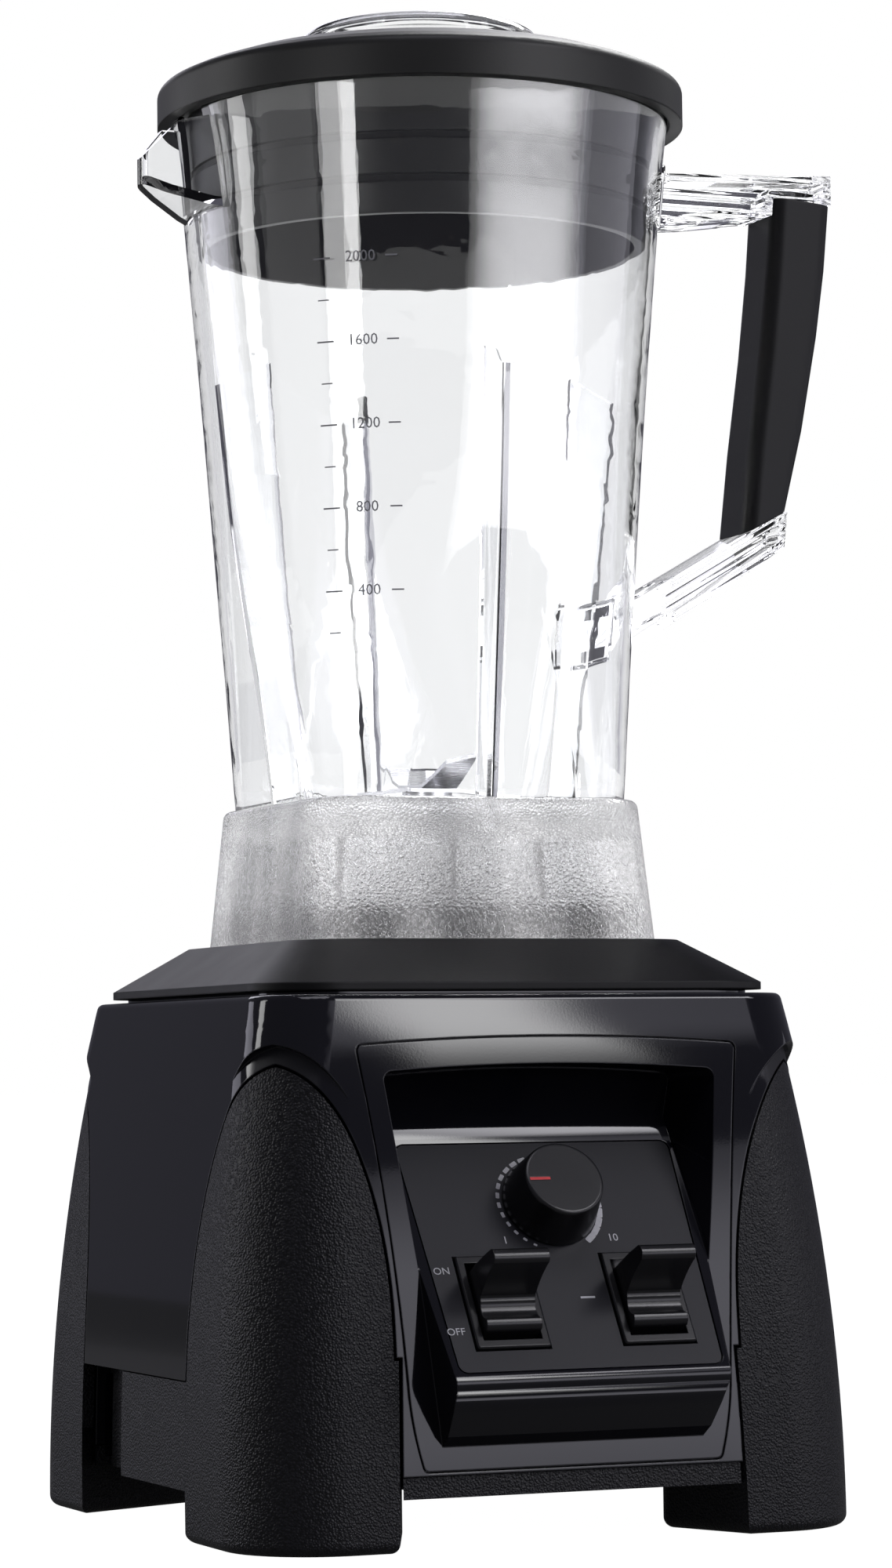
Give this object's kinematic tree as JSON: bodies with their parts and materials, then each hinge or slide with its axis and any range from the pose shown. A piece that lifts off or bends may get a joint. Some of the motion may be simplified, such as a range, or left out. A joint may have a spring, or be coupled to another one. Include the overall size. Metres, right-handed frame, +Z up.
{
  "type": "countertop blender",
  "caption": "Countertop blender: a wide four-legged black base with a dial and paddle switches, a clear tapered jug with handle and spout, bladed cutter, and a lid with a filler plug.",
  "frame": {"origin": "where the motor axis meets the worktop, on the plane of the rubber feet", "axes": "+Z up along the motor axis, -Y towards the control panel at the front, +X towards the jug's handle, -X towards its spout"},
  "size_m": [0.2629, 0.2522, 0.5092],
  "materials": {
    "gloss_shell": "glossy black moulded shell",
    "textured_leg": "fine leather-grained black plastic",
    "panel": "satin black plate",
    "switch_black": "semi-gloss black",
    "knob_black": "satin black with a gloss cap",
    "pointer_red": "red paint",
    "rubber": "matt black rubber",
    "clear": "clear polycarbonate",
    "lid_black": "soft matt black rubber",
    "steel": "brushed steel",
    "chrome": "bright plating",
    "iron": "stacked steel laminations",
    "copper": "enamelled copper",
    "brass": "brass",
    "carbon": "pressed carbon",
    "board": "green circuit board",
    "nylon": "off-white nylon",
    "zinc": "zinc-plated steel",
    "seal": "grey silicone rubber"
  },
  "bodies": {
    "base": {"base_housing": "gloss_shell", "front_cover": "gloss_shell", "control_panel": "panel", "power_switch_case": "switch_black", "pulse_switch_case": "switch_black", "paddle_pins": "steel", "switch_terminals": "brass", "pulse_spring": "steel", "speed_potentiometer": "zinc", "potentiometer_nut": "zinc", "speed_board": "board", "leg_front_left": "textured_leg", "leg_front_right": "textured_leg", "leg_rear_left": "textured_leg", "leg_rear_right": "textured_leg", "rubber_feet": "rubber", "bottom_tray": "textured_leg", "tray_screws": "zinc", "jug_pad": "rubber", "upper_motor_bracket": "zinc", "lower_motor_bracket": "zinc", "upper_motor_bearing": "steel", "lower_motor_bearing": "steel", "motor_stator": "iron", "field_windings": "copper", "motor_bolts": "zinc", "motor_mounts": "rubber", "brush_holders": "brass", "carbon_brushes": "carbon", "brush_springs": "steel", "cord_gland": "rubber"},
    "rotor": {"motor_shaft": "steel", "armature_core": "iron", "armature_winding": "copper", "commutator": "copper", "cooling_fan": "nylon", "drive_socket": "chrome"},
    "power_rocker": {"power_paddle": "switch_black"},
    "pulse_rocker": {"pulse_paddle": "switch_black"},
    "speed_dial": {"speed_knob": "knob_black", "knob_pointer": "pointer_red", "potentiometer_shaft": "steel"},
    "jug_unit": {"jug": "clear", "handle_grip": "lid_black", "blade_housing": "steel", "blade_seal": "seal", "blade_bearings": "steel", "blade_retainer": "nylon"},
    "blade_unit": {"blade_shaft": "steel", "lower_blade": "steel", "upper_blade": "steel", "blade_cap_nut": "steel"},
    "lid_unit": {"lid": "lid_black"},
    "plug_unit": {"plug": "clear"}
  },
  "joints": [
    {"name": "motor_spin", "type": "hinge", "parent": "base", "child": "rotor", "pos_m": [0, 0, 0.1], "axis": [0, 0, 1], "continuous": true},
    {"name": "power_rock", "type": "hinge", "parent": "base", "child": "power_rocker", "pos_m": [-0.0253, -0.11403, 0.07373], "axis": [-1, 0, 0], "range_deg": [0, 20]},
    {"name": "pulse_press", "type": "hinge", "parent": "base", "child": "pulse_rocker", "pos_m": [0.0253, -0.11403, 0.07373], "axis": [-1, 0, 0], "range_deg": [0, 20], "stiffness_Nm_per_rad": 0.3},
    {"name": "speed_turn", "type": "hinge", "parent": "base", "child": "speed_dial", "pos_m": [0, -0.0979, 0.1074], "axis": [0, -0.8358, 0.549], "range_deg": [-225, 45]},
    {"name": "jug_lift", "type": "slide", "parent": "base", "child": "jug_unit", "axis": [0, 0, 1], "range_m": [0, 0.04]},
    {"name": "blade_spin", "type": "hinge", "parent": "jug_unit", "child": "blade_unit", "pos_m": [0, 0, 0.24], "axis": [0, 0, 1], "continuous": true},
    {"name": "lid_lift", "type": "slide", "parent": "jug_unit", "child": "lid_unit", "axis": [0, 0, 1], "range_m": [0, 0.06]},
    {"name": "plug_lift", "type": "slide", "parent": "lid_unit", "child": "plug_unit", "axis": [0, 0, 1], "range_m": [0, 0.045]}
  ],
  "couplings": [
    {"joint": "blade_spin", "follows": "motor_spin", "ratio": 1}
  ]
}
